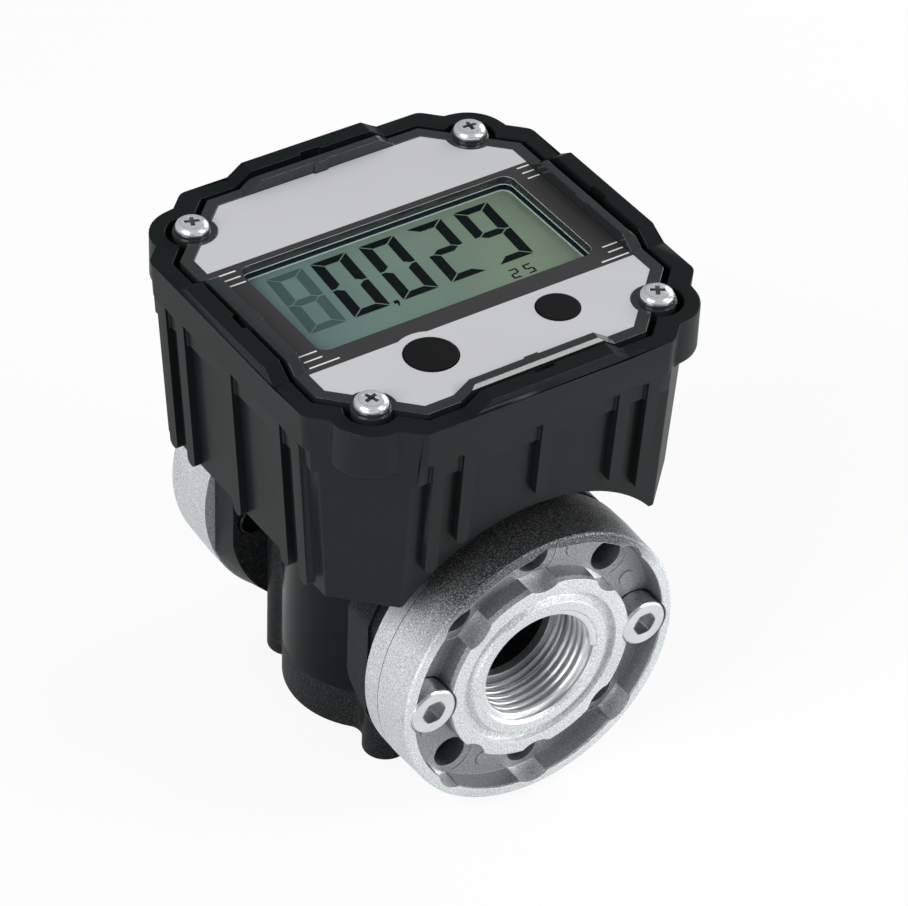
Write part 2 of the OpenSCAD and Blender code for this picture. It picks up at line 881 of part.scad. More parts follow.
module face_label() {
    color("#c5c5c7") centred() slab(plate_top, label_top) difference() {
        label_plan(0);
        window(0);
        button_holes();
        four_sides() translate([housing_width / 2 - cover_inset - bar_width, 0])
            square(2 * [tab_depth + label_gap, tab_width / 2 + label_gap], center = true);
    }
}

module window_lens() {
    color("#dfe6e4") centred() block(window_place, plate_bottom - lens_thickness, plate_bottom,
        window_width + 2 * lens_margin, window_height + 2 * lens_margin);
}

module cover_screws() {
    color("silver") centred() for (place = screw_places)
        translate([place[0], place[1], screw_base]) pan_screw();
}

// Buttons, with a lip under the plate and a stem over the switch

flange_top = plate_bottom - slide_gap;
stem_bottom = flange_top - button_flange - stem_length;

module button(place, radius) {
    rod(place, flange_top - button_flange, label_top + button_rise, radius);
    rod(place, flange_top - button_flange, flange_top, radius + button_lip);
    rod(place, stem_bottom, flange_top, stem_radius);
}

module reset_button() {
    color("#17181a") centred() button(reset_place, reset_radius);
}

module rate_button() {
    color("#17181a") centred() button(rate_place, rate_radius);
}

// Electronics

module circuit_board() {
    color("#1f5a38") centred() block([0, 0], board_bottom, board_top, board_width, board_depth);
}

module controller_chip() {
    color("#1a1a1c") centred()
        block(window_place, board_top, board_top + chip_height, chip_width, chip_width);
}

module display_glass() {
    color("#a9b3a6") centred() block(window_place, glass_bottom, glass_bottom + glass_thickness,
        window_width + 2 * glass_margin, window_height + 2 * glass_margin);
}

module display_frame() {
    color("#e4e4e0") centred() difference() {
        block(window_place, board_top, glass_bottom, window_width + 2 * glass_margin,
            window_height + 2 * glass_margin);
        block(window_place, board_top - cut, glass_bottom + cut,
            window_width + 2 * (glass_margin - frame_width),
            window_height + 2 * (glass_margin - frame_width));
    }
}

module key_switches() {
    color("#b9bcc0") centred() for (place = [reset_place, rate_place]) {
        block(place, board_top, board_top + switch_height, switch_width, switch_width);
        rod(place, board_top, stem_bottom - button_travel - plunger_gap, plunger_radius);
    }
}

cell_places = [[0, battery_y - battery_spacing / 2], [0, battery_y + battery_spacing / 2]];
cell_bottom = floor_top + tray_base;
cell_axis = cell_bottom + battery_radius + slide_gap;
cell_half = (battery_length + battery_nub) / 2;
tray_length = 2 * (cell_half + contact_sheet + slide_gap);
tray_span = battery_spacing + 2 * (battery_radius + slide_gap);

module battery_tray() {
    color("#26282a") centred() difference() {
        block([0, battery_y], floor_top, cell_bottom + tray_depth, tray_length + 2 * tray_wall,
            tray_span + 2 * tray_wall);
        block([0, battery_y], cell_bottom, cell_bottom + tray_depth + cut, tray_length, tray_span);
    }
}

module batteries() {
    color("#3c4650") centred() for (place = cell_places)
        translate([-cell_half, place[1], cell_axis - slide_gap]) rotate([0, 90, 0]) {
            cylinder(h = battery_length, r = battery_radius);
            cylinder(h = battery_length + battery_nub, r = battery_nub_radius);
        }
}

module battery_contacts() {
    color("silver") centred() for (place = cell_places) for (side = [-1, 1])
        block([side * (tray_length - contact_sheet) / 2, place[1]], cell_bottom, cell_bottom + tray_depth,
            contact_sheet, 2 * battery_radius);
}

module pulse_sensor() {
    color("#2a2c30") centred() rod(sensor_place, sensor_base, sensor_base + sensor_height, sensor_radius);
}

module sensor_strip() {
    color("#b98a3a") centred() block(sensor_place, sensor_base + sensor_height, board_bottom, strip_width,
        strip_thickness);
}

meter_body();
chamber_cover();
chamber_seal();
chamber_screws();
oval_gear_a();
oval_gear_b();
gear_pins();
gear_magnets();
inlet_flange();
outlet_flange();
inlet_seal();
outlet_seal();
flange_screws();
register_housing();
mounting_plate();
housing_screws();
circuit_board();
controller_chip();
display_glass();
display_frame();
battery_tray();
batteries();
battery_contacts();
pulse_sensor();
sensor_strip();
key_switches();
reset_button();
rate_button();
register_cover();
cover_gasket();
face_label();
window_lens();
cover_screws();
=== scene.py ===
import math

import bmesh
import bpy
from mathutils import Matrix, Vector


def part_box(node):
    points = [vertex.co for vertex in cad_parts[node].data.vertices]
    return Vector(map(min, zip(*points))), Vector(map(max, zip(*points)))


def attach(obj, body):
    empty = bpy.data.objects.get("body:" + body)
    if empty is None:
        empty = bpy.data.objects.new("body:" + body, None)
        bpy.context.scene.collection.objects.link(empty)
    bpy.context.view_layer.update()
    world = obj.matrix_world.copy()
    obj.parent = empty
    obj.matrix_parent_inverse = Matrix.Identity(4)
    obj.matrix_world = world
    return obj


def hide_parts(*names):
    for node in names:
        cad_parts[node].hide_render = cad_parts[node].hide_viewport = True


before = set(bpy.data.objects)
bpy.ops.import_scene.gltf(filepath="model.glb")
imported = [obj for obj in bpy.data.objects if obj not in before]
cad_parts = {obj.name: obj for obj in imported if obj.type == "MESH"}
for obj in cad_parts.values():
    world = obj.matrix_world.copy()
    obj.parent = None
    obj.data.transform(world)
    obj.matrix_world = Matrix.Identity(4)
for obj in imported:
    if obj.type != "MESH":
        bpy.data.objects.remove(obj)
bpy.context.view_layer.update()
mm = 0.001
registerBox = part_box("register_housing")
registerY = (registerBox[0].y + registerBox[1].y) / 2
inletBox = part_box("inlet_flange")
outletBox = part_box("outlet_flange")
flowHeight = (outletBox[0].z + outletBox[1].z) / 2
print("frame loaded:", len(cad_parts), "nodes")


# node maths as expressions: a wire is one output socket of a node plan
class Wire:
    def __init__(self, plan, socket):
        self.plan = plan
        self.socket = socket

    def calc(self, operation, *values):
        return self.plan.node("ShaderNodeMath", {"operation": operation}, dict(enumerate(values)))

    def __add__(self, other):
        return self.calc("ADD", self, other)

    def __radd__(self, other):
        return self.calc("ADD", other, self)

    def __sub__(self, other):
        return self.calc("SUBTRACT", self, other)

    def __rsub__(self, other):
        return self.calc("SUBTRACT", other, self)

    def __mul__(self, other):
        return self.calc("MULTIPLY", self, other)

    def __rmul__(self, other):
        return self.calc("MULTIPLY", other, self)

    def __truediv__(self, other):
        return self.calc("DIVIDE", self, other)

    def __rtruediv__(self, other):
        return self.calc("DIVIDE", other, self)

    def __gt__(self, other):
        return self.calc("GREATER_THAN", self, other)

    def __lt__(self, other):
        return self.calc("LESS_THAN", self, other)

    def __abs__(self):
        return self.calc("ABSOLUTE", self)

    def root(self):
        return self.calc("SQRT", self)

    def least(self, other):
        return self.calc("MINIMUM", self, other)

    def most(self, other):
        return self.calc("MAXIMUM", self, other)

    def clipped(self):
        return self.plan.node("ShaderNodeClamp", {}, {"Value": self})


# a node tree that grows one call at a time: settings first, then a value or a wire for each socket
class NodePlan:
    def __init__(self, tree):
        self.tree = tree

    def node(self, kind, settings, values, out=0):
        made = self.tree.nodes.new(kind)
        for label, value in settings.items():
            setattr(made, label, value)
        for label, value in values.items():
            self.feed(made.inputs[label], value)
        return Wire(self, made.outputs[out])

    def feed(self, socket, value):
        if isinstance(value, Wire):
            self.tree.links.new(value.socket, socket)
        else:
            socket.default_value = value


class Finish(NodePlan):
    def __init__(self, name, **constants):
        self.material = bpy.data.materials.new(name)
        self.material.use_nodes = True
        super().__init__(self.material.node_tree)
        self.shader = self.tree.nodes["Principled BSDF"]
        for label, value in constants.items():
            self.to(label.replace("_", " "), value)
        self.place = self.node("ShaderNodeTexCoord", {}, {}, "Object")

    def to(self, label, value):
        self.feed(self.shader.inputs[label], value)

    def surface(self, shader):
        self.feed(self.tree.nodes["Material Output"].inputs["Surface"], shader)

    # noise whose grains are about size metres across, from 0 to 1
    def noise(self, size, detail=3.0):
        values = {"Vector": self.place, "Scale": 1 / size, "Detail": detail}
        return self.node("ShaderNodeTexNoise", {}, values)

    def axis(self, which):
        return self.node("ShaderNodeSeparateXYZ", {}, {"Vector": self.place}, which)

    def between(self, factor, low, high):
        return self.node("ShaderNodeMapRange", {}, {"Value": factor, "To Min": low, "To Max": high})

    # colours are given as plain sRGB numbers from 0 to 255
    def blend(self, factor, first, second):
        colours = {"Factor": factor, 6: toned(first), 7: toned(second)}
        return self.node("ShaderNodeMix", {"data_type": "RGBA"}, colours, 2)

    def bump(self, height, depth):
        self.to("Normal", self.node("ShaderNodeBump", {}, {"Height": height, "Distance": depth}))


def toned(colour):
    if isinstance(colour, Wire):
        return colour
    return tuple(linear(c / 255) for c in colour) + (1,)


def linear(c):
    return c / 12.92 if c <= 0.04045 else ((c + 0.055) / 1.055) ** 2.4


# two noises in one factor, share being the part of the first
def mixed(first, second, share):
    return first * share + second * (1 - share)


moulding = {"patches": 18 * mm, "share": 0.6, "smoother": 0.06, "rougher": 0.08}


def mouldedPlastic(name, dark, light, grain, roughness, depth):
    made = Finish(name)
    broad = made.noise(moulding["patches"])
    fine = made.noise(grain)
    made.to("Base Color", made.blend(mixed(broad, fine, moulding["share"]), dark, light))
    made.to("Roughness", made.between(
        fine, roughness - moulding["smoother"], roughness + moulding["rougher"]))
    made.bump(fine, depth)
    return made.material


plating = {"patches": 6 * mm, "darker": 0.86, "smoother": 0.05, "rougher": 0.1}


def plainMetal(name, colour, roughness, grain=0.5 * mm, depth=0.01 * mm):
    made = Finish(name, Metallic=1.0)
    fine = made.noise(grain)
    broad = made.noise(plating["patches"])
    darker = tuple(c * plating["darker"] for c in colour)
    made.to("Base Color", made.blend(broad, darker, colour))
    made.to("Roughness", made.between(
        fine, roughness - plating["smoother"], roughness + plating["rougher"]))
    made.bump(fine, depth)
    return made.material


# cover screws: pan heads with a cross recess; the sizes from "shaded" on are of their finish
coverScrew = {"radius": 4.25 * mm, "dome": 1.98 * mm, "edge": 0.25 * mm, "roundness": 0.55,
              "shank": 2.0 * mm, "length": 14 * mm, "slot": 1.15 * mm, "reach": 2.85 * mm,
              "deep": 1.6 * mm, "taper": 0.45, "rounding": 0.08 * mm, "turns": 48, "steps": 8,
              "sharper": math.radians(40), "seat": 2 * mm, "seed": 3, "shaded": 3.1 * mm, "lip": 0.3 * mm,
              "patches": 0.9 * mm, "shade": 0.8, "rough": (0.17, 0.24)}


# bright plating, with painted shade inside the cross recesses of the cover screws
def headScrewMetal():
    made = Finish("headScrewZinc", Metallic=0.75)
    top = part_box("cover_screws")[1]
    radius = coverScrew["radius"]
    broad = made.noise(coverScrew["patches"])
    across = abs(made.axis(0)) - (top.x - radius)
    along = abs(made.axis(1) - registerY) - (top.y - registerY - radius)
    nearMiddle = (across * across + along * along).root() < coverScrew["shaded"]
    recess = nearMiddle * (made.axis(2) < top.z - coverScrew["lip"])
    shade = made.blend(broad, (228, 230, 232), (244, 246, 248))
    # painted shade: the plating turns dark grey inside the cross recess
    made.to("Base Color", made.blend(recess * coverScrew["shade"], shade, (66, 71, 74)))
    made.to("Roughness", made.between(broad, *coverScrew["rough"]))
    return made.material


# plating of the flange screws, with painted shade in their sockets, and black at the tips inside the body
def capScrewMetal():
    bolts = {"aside": 32 * mm, "socket": 3.3 * mm, "tips": 36 * mm, "patches": 5 * mm, "shade": 0.5,
             "rough": (0.22, 0.34)}
    made = Finish("capScrewZinc", Metallic=1.0)
    broad = made.noise(bolts["patches"])
    across = abs(made.axis(0)) - bolts["aside"]
    upward = made.axis(2) - flowHeight
    socket = (across * across + upward * upward).root() < bolts["socket"]
    tip = abs(made.axis(1) - registerY) < bolts["tips"]
    shade = made.blend(broad, (196, 198, 200), (226, 228, 230))
    # painted shade: darker plating inside the hex sockets
    shade = made.blend(socket * bolts["shade"], shade, (86, 88, 90))
    made.to("Base Color", made.blend(tip, shade, (30, 32, 34)))
    made.to("Roughness", made.between(broad, *bolts["rough"]))
    return made.material


# sand-textured casting: darker in the recesses, partly oxide and partly painted shade, smoother in the bore,
# with painted shade speckled dark along the top of the rim, and a thin parting line round the inlet flange
def castAluminium():
    casting = {"grain": 0.42 * mm, "ripple": 2.4 * mm, "patches": 25 * mm, "depth": 0.16 * mm,
               "bore": 16.9 * mm, "inner": 26.9 * mm, "outer": 37.7 * mm, "below": 0.7 * mm,
               "shaded": 18 * mm, "fade": 14 * mm, "parting": inletBox[1].y - 6 * mm, "line": 0.12 * mm,
               "contrast": 1.7, "clouds": 0.3, "offset": 0.55, "speckle": 4, "specklePaleness": 0.2,
               "oxideAndShade": 0.75, "dark": 0.9, "polished": 0.7, "smoothed": 0.85, "scored": 0.8,
               "rough": (0.42, 0.58), "shinier": 0.12}
    made = Finish("castAluminium", Metallic=0.9)
    fine = made.noise(casting["grain"], 2.0)
    coarse = made.noise(casting["ripple"])
    broad = made.noise(casting["patches"])
    across = made.axis(0)
    along = made.axis(1)
    upward = made.axis(2) - flowHeight
    radius = (across * across + upward * upward).root()
    middleY = (inletBox[0].y + outletBox[1].y) / 2
    reach = (outletBox[1].y - inletBox[0].y) / 2 - casting["below"]
    belowFace = abs(along - middleY) < reach
    sunk = belowFace * (radius > casting["inner"]) * (radius < casting["outer"])
    seam = abs(along - casting["parting"]) < casting["line"]
    bored = radius < casting["bore"]
    # painted shade: the outside of the flange rim turns dark and speckled towards its top, where the
    # register's skirt shades it
    top = ((upward - casting["shaded"]) / casting["fade"]).clipped() * (radius > casting["outer"])
    sanded = (fine * casting["contrast"] + broad * casting["clouds"] - casting["offset"]).clipped()
    shade = made.blend(sanded, (160, 163, 165), (250, 252, 253))
    oxideAndShade = made.blend(fine, (78, 81, 83), (150, 153, 155))
    # the recesses darker: partly oxide, partly painted shade
    shade = made.blend(sunk * casting["oxideAndShade"], shade, oxideAndShade)
    grains = ((fine - 0.5) * casting["speckle"] + casting["specklePaleness"]).clipped()
    speckledShade = made.blend(grains, (14, 16, 18), (128, 131, 133))
    shade = made.blend(top * casting["dark"], shade, speckledShade)
    shade = made.blend(bored * casting["polished"], shade, (214, 217, 219))
    made.to("Base Color", made.blend(seam * casting["scored"], shade, (60, 62, 64)))
    made.to("Roughness", made.between(fine, *casting["rough"]) - bored * casting["shinier"])
    sand = mixed(fine, coarse, 0.8) * (1 - bored * casting["smoothed"])
    made.bump(sand - seam * casting["scored"], casting["depth"])
    return made.material


# black paint over a casting, with pale specks
def paintedCasting():
    paint = {"grain": 0.55 * mm, "patches": 14 * mm, "depth": 0.07 * mm, "speck": 0.3 * mm,
             "rareness": 0.66, "paleness": 0.6, "clouds": 0.1, "rough": (0.34, 0.5)}
    made = Finish("paintedCasting", Specular_IOR_Level=0.12)
    fine = made.noise(paint["grain"])
    broad = made.noise(paint["patches"])
    specks = (made.noise(paint["speck"], 0.0) > paint["rareness"]) * paint["paleness"]
    made.to("Base Color", made.blend(specks + broad * paint["clouds"], (9, 10, 11), (66, 70, 72)))
    made.to("Roughness", made.between(fine, *paint["rough"]))
    made.bump(mixed(fine, broad, 0.7), paint["depth"])
    return made.material


# matt on the rim and on the tops of the ears, with a sheen on the walls
def housingPlastic():
    shell = {"patches": 18 * mm, "grain": 0.5 * mm, "depth": 0.03 * mm, "rim": 3.5 * mm,
             "rough": (0.5, 0.62), "matter": 0.25, "coat": 0.2, "less": 0.04}
    made = Finish("housingPlastic", Coat_Roughness=0.22, Specular_IOR_Level=0.08)
    broad = made.noise(shell["patches"])
    fine = made.noise(shell["grain"])
    rim = made.axis(2) > registerBox[1].z - shell["rim"]
    made.to("Base Color", made.blend(mixed(broad, fine, 0.6), (10, 15, 15), (18, 24, 24)))
    made.to("Roughness", made.between(fine, *shell["rough"]) + rim * shell["matter"])
    made.to("Coat Weight", shell["coat"] - rim * shell["less"])
    made.bump(fine, shell["depth"])
    return made.material


printing = {"grain": 0.35 * mm, "patches": 30 * mm, "share": 0.7, "spread": 0.05, "depth": 0.004 * mm}


# films and inks, which are almost flat
def labelFilm(name, light, dark, roughness=0.4, shine=0.5):
    made = Finish(name, Specular_IOR_Level=shine)
    fine = made.noise(printing["grain"])
    broad = made.noise(printing["patches"])
    made.to("Base Color", made.blend(mixed(broad, fine, printing["share"]), dark, light))
    made.to("Roughness", made.between(
        fine, roughness - printing["spread"], roughness + printing["spread"]))
    made.bump(fine, printing["depth"])
    return made.material


# the display's ground, which turns from bluish to greenish grey along its length
def displayFace():
    ground = {"grain": 0.4 * mm, "patches": 22 * mm, "share": 0.65, "length": 60 * mm, "depth": 0.003 * mm}
    made = Finish("displayFace", Roughness=0.3)
    fine = made.noise(ground["grain"])
    broad = made.noise(ground["patches"])
    clouds = mixed(broad, fine, ground["share"])
    across = (made.axis(0) / ground["length"] + 0.5).clipped()
    warm = made.blend(clouds, (100, 112, 100), (146, 156, 136))
    cool = made.blend(clouds, (82, 106, 108), (120, 140, 138))
    made.to("Base Color", made.blend(across, cool, warm))
    made.bump(fine, ground["depth"])
    return made.material


# see-through, with a weak gloss on its outer faces only
def clearWindow():
    pane = {"patches": 8 * mm, "tint": (0.94, 0.97, 0.95, 1), "rough": 0.04, "bending": 1.4,
            "gloss": 0.1, "haze": 0.2}
    made = Finish("clearWindow")
    haze = made.noise(pane["patches"])
    veil = made.node("ShaderNodeBsdfTransparent", {}, {"Color": pane["tint"]})
    gloss = made.node("ShaderNodeBsdfGlossy", {}, {"Roughness": pane["rough"]})
    glance = made.node("ShaderNodeFresnel", {}, {"IOR": pane["bending"]})
    outside = 1 - made.node("ShaderNodeNewGeometry", {}, {}, "Backfacing")
    share = glance * outside * (haze * pane["haze"] + pane["gloss"])
    made.surface(made.node("ShaderNodeMixShader", {}, {0: share, 1: veil, 2: gloss}))
    return made.material


finishes = {
    "casting": castAluminium(),
    "paint": paintedCasting(),
    "housing": housingPlastic(),
    "cover": mouldedPlastic("coverPlastic", (30, 34, 34), (42, 47, 47), 0.7 * mm, 0.14, 0.008 * mm),
    "button": labelFilm("buttonFilm", (13, 14, 15), (9, 10, 11), 0.5, 0.12),
    "label": labelFilm("labelFilm", (199, 199, 201), (194, 194, 196), 0.5, 0.3),
    "band": labelFilm("labelBand", (54, 53, 54), (50, 49, 50), 0.45, 0.25),
    "whitePrint": labelFilm("whitePrint", (236, 236, 236), (222, 222, 222)),
    "digit": labelFilm("digitInk", (6, 12, 16), (2, 6, 10), 0.5, 0.06),
    "ghost": labelFilm("ghostInk", (78, 94, 92), (66, 82, 84), 0.5, 0.1),
    "display": displayFace(),
    "window": clearWindow(),
    # the window's dark step: partly the bezel's own dark, partly painted shade of its wall
    "bezel": labelFilm("bezelInk", (34, 50, 56), (20, 32, 38)),
    # painted highlight: bright lines standing in for light caught on the window's glass edges
    "edgeGlass": labelFilm("edgeGlass", (226, 234, 236), (168, 182, 186)),
    "zinc": plainMetal("zincSteel", (226, 228, 230), 0.24, 0.9 * mm, 0.004 * mm),
    "headZinc": headScrewMetal(),
    "capZinc": capScrewMetal(),
    "ground": plainMetal("groundSteel", (206, 208, 210), 0.16, 0.2 * mm, 0.004 * mm),
    "magnet": plainMetal("magnetPlating", (190, 190, 196), 0.2),
    "contact": plainMetal("contactMetal", (214, 212, 204), 0.3),
    "rubber": mouldedPlastic("sealRubber", (16, 16, 17), (28, 28, 29), 0.6 * mm, 0.6, 0.02 * mm),
    "gear": mouldedPlastic("gearPlastic", (34, 37, 42), (50, 54, 60), 0.6 * mm, 0.4, 0.015 * mm),
    "board": mouldedPlastic("boardMask", (20, 84, 52), (32, 110, 66), 1.5 * mm, 0.35, 0.02 * mm),
    "chip": mouldedPlastic("chipMould", (26, 26, 28), (40, 40, 42), 0.4 * mm, 0.55, 0.02 * mm),
    "frameWhite": mouldedPlastic("frameMould", (214, 214, 208), (232, 232, 226), 0.8 * mm, 0.5, 0.01 * mm),
    "sleeve": mouldedPlastic("cellSleeve", (58, 70, 84), (74, 88, 102), 2 * mm, 0.3, 0.01 * mm),
    "strip": mouldedPlastic("stripFilm", (168, 118, 44), (196, 142, 60), 1 * mm, 0.3, 0.01 * mm),
    "plate": labelFilm("bodyPlateFilm", (10, 13, 15), (5, 7, 9), 0.24, 0.12)}
print("finishes made:", len(finishes))

shading = {"sharpest": math.radians(35), "weight": 60}


# a piece from mesh data with evened normals, riding on a body
def addPiece(name, mesh, finish, body, replaced=()):
    mesh.materials.clear()
    mesh.materials.append(finishes[finish])
    mesh.polygons.foreach_set("use_smooth", [True] * len(mesh.polygons))
    mesh.set_sharp_from_angle(angle=shading["sharpest"])
    holder = holderOf(mesh, name)
    even = holder.modifiers.new("even", "WEIGHTED_NORMAL")
    even.weight = shading["weight"]
    even.keep_sharp = True
    piece = bpy.data.objects.new(name, bakedMesh(holder, name))
    bpy.context.scene.collection.objects.link(piece)
    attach(piece, body)
    if replaced:
        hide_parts(*replaced)


# the evaluated mesh of an object that is made only to be read
def bakedMesh(holder, name):
    graph = bpy.context.evaluated_depsgraph_get()
    mesh = bpy.data.meshes.new_from_object(holder.evaluated_get(graph))
    mesh.name = name
    bpy.data.objects.remove(holder)
    return mesh


def holderOf(data, name):
    holder = bpy.data.objects.new(name + "Holder", data)
    bpy.context.scene.collection.objects.link(holder)
    return holder


rounding = {"sharper": math.radians(30), "flatter": math.radians(0.6), "merge": 0.001 * mm}


# a copy of a node's solid with its sharp edges rounded as moulding and casting leave them;
# with room given, only where no edge near by is shorter than that
def softCopy(node, name, finish, body, slot, width, segments=2, room=0):
    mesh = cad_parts[node].data.copy()
    form = bmesh.new()
    form.from_mesh(mesh)
    bmesh.ops.remove_doubles(form, verts=form.verts, dist=rounding["merge"])
    bmesh.ops.dissolve_limit(form, angle_limit=rounding["flatter"], verts=form.verts, edges=form.edges)
    if room:
        chosen = form.edges.layers.float.new("bevel_weight_edge")
        for edge in form.edges:
            shortest = min(near.calc_length() for end in edge.verts for near in end.link_edges)
            turned = len(edge.link_faces) == 2 and edge.calc_face_angle() > rounding["sharper"]
            edge[chosen] = 1.0 if turned and shortest > room else 0.0
    form.to_mesh(mesh)
    form.free()
    holder = holderOf(mesh, name)
    soft = holder.modifiers.new("soft", "BEVEL")
    soft.width = width
    soft.segments = segments
    soft.limit_method = "WEIGHT" if room else "ANGLE"
    soft.angle_limit = rounding["sharper"]
    soft.use_clamp_overlap = not room
    addPiece(name, bakedMesh(holder, name), finish, body, (node,))


# a flat plate from closed outlines, where an inner outline is a hole
def flatPlate(name, outlines, low, high, across=registerY):
    curve = bpy.data.curves.new(name, "CURVE")
    curve.dimensions = "2D"
    curve.fill_mode = "BOTH"
    curve.extrude = (high - low) / 2
    for outline in outlines:
        line = curve.splines.new("POLY")
        line.points.add(len(outline) - 1)
        for point, (x, y) in zip(line.points, outline):
            point.co = (x, y, 0, 1)
        line.use_cyclic_u = True
    mesh = bakedMesh(holderOf(curve, name), name)
    mesh.transform(Matrix.Translation((0, across, (low + high) / 2)))
    return mesh


def arc(centre, radius, start, stop, steps):
    turns = [math.radians(start + (stop - start) * k / steps) for k in range(steps + 1)]
    return [(centre[0] + radius * math.cos(a), centre[1] + radius * math.sin(a)) for a in turns]


def roundedOutline(low, high, radius, steps=8):
    corners = [((high[0], high[1]), 0, 1, 1), ((low[0], high[1]), 90, -1, 1),
               ((low[0], low[1]), 180, -1, -1), ((high[0], low[1]), 270, 1, -1)]
    points = []
    for corner, start, sx, sy in corners:
        centre = (corner[0] - sx * radius, corner[1] - sy * radius)
        points += arc(centre, radius, start, start + 90, steps)
    return points


def joined(name, meshes):
    form = bmesh.new()
    for mesh in meshes:
        form.from_mesh(mesh)
    whole = bpy.data.meshes.new(name)
    form.to_mesh(whole)
    form.free()
    return whole


# a geometry node tree with named inputs, for what repeats or follows a path
class PieceTree(NodePlan):
    def __init__(self, name, inputs):
        super().__init__(bpy.data.node_groups.new(name, "GeometryNodeTree"))
        for side in ("INPUT", "OUTPUT"):
            self.tree.interface.new_socket("Geometry", in_out=side, socket_type="NodeSocketGeometry")
        self.names = {}
        for label, kind in inputs.items():
            made = self.tree.interface.new_socket(label, in_out="INPUT", socket_type="NodeSocket" + kind)
            self.names[label] = made.identifier
        self.start = self.tree.nodes.new("NodeGroupInput")
        self.end = self.tree.nodes.new("NodeGroupOutput")

    def given(self, label):
        return Wire(self, self.start.outputs[label])

    def close(self, geometry):
        real = self.node("GeometryNodeRealizeInstances", {}, {"Geometry": geometry})
        dressed = self.node("GeometryNodeSetMaterial", {}, {
            "Geometry": real, "Material": self.given("Finish")})
        self.feed(self.end.inputs["Geometry"], dressed)

    def grow(self, name, values, start=None):
        holder = holderOf(start or bpy.data.meshes.new(name), name)
        modifier = holder.modifiers.new("grow", "NODES")
        modifier.node_group = self.tree
        for label, value in values.items():
            modifier[self.names[label]] = value
        return bakedMesh(holder, name)


# metal: flanges, body, lower cover and screws, each with its finish, body, slot and rounding
metalParts = {
    "inlet_flange": ("inletFlange", "casting", "meter", "cast_aluminium", 0.35 * mm),
    "outlet_flange": ("outletFlange", "casting", "meter", "cast_aluminium", 0.35 * mm),
    "meter_body": ("meterBody", "paint", "meter", "body_paint", 0.4 * mm),
    "chamber_cover": ("chamberCover", "paint", "meter", "body_paint", 0.3 * mm),
    "flange_screws": ("flangeScrews", "capZinc", "meter", "zinc_steel", 0.15 * mm),
    "chamber_screws": ("chamberScrews", "zinc", "meter", "zinc_steel", 0.12 * mm)}
for node, details in metalParts.items():
    softCopy(node, *details)

# port thread: the foot is the ridge's half width in pitches, and the run-out thins its ends to the tip
portThread = {"pitch": 2.309 * mm, "turns": 6.0, "root": 16.62 * mm, "ridge": 1.3 * mm, "mouth": 1.1 * mm,
              "foot": 0.4, "steps": 96, "sides": 10, "runOut": 14.0, "tip": 0.06}


# a ridge that winds along a bore, drawn round Z, thin at both ends and closed there
def threadTree():
    tree = PieceTree("portThread", {
        "Turns": "Float", "Pitch": "Float", "Radius": "Float", "Ridge": "Float", "Finish": "Material"})
    spiral = tree.node("GeometryNodeCurveSpiral", {}, {
        "Resolution": portThread["steps"], "Rotations": tree.given("Turns"),
        "Start Radius": tree.given("Radius"), "End Radius": tree.given("Radius"),
        "Height": tree.given("Turns") * tree.given("Pitch")})
    along = tree.node("GeometryNodeSplineParameter", {}, {}, "Factor")
    nearer = along.least(1.0 - along)
    full = (nearer * portThread["runOut"] + portThread["tip"]).least(1.0)
    tapered = tree.node("GeometryNodeSetCurveRadius", {}, {"Curve": spiral, "Radius": full})
    upright = tree.node("GeometryNodeSetCurveNormal", {"mode": "Z_UP"}, {"Curve": tapered})
    outline = tree.node("GeometryNodeCurvePrimitiveCircle", {"mode": "RADIUS"}, {
        "Resolution": portThread["sides"], "Radius": 1.0})
    section = tree.node("ShaderNodeCombineXYZ", {}, {
        "X": tree.given("Ridge"), "Y": tree.given("Pitch") * portThread["foot"], "Z": 1.0})
    profile = tree.node("GeometryNodeTransform", {}, {"Geometry": outline, "Scale": section})
    tree.close(tree.node("GeometryNodeCurveToMesh", {}, {
        "Curve": upright, "Profile Curve": profile, "Fill Caps": True}))
    return tree


ridgeMesh = threadTree().grow("portThread", {
    "Turns": portThread["turns"], "Pitch": portThread["pitch"], "Radius": portThread["root"],
    "Ridge": portThread["ridge"], "Finish": finishes["casting"]})
for name, side, face in (("outletThread", 1, outletBox[1].y), ("inletThread", -1, -inletBox[0].y)):
    mesh = ridgeMesh.copy()
    deep = face - portThread["mouth"] - portThread["turns"] * portThread["pitch"]
    mesh.transform(Matrix.Translation((0, 0, deep)))
    mesh.transform(Matrix.Rotation(math.radians(-90 * side), 4, "X"))
    mesh.transform(Matrix.Translation((0, 0, flowHeight)))
    addPiece(name, mesh, "casting", "meter")
print("metal parts made")


# register: housing, cover and buttons, and for the housing the segments and the room of its rounding
registerParts = {
    "register_housing": ("registerHousing", "housing", "meter", "black_plastic", 0.42 * mm, 3, 0.6 * mm),
    "register_cover": ("registerCover", "cover", "meter", "cover_plastic", 0.2 * mm),
    "reset_button": ("resetButton", "button", "reset", "button_plastic", 0.2 * mm),
    "rate_button": ("rateButton", "button", "rate", "button_plastic", 0.2 * mm)}
for node, details in registerParts.items():
    softCopy(node, *details)


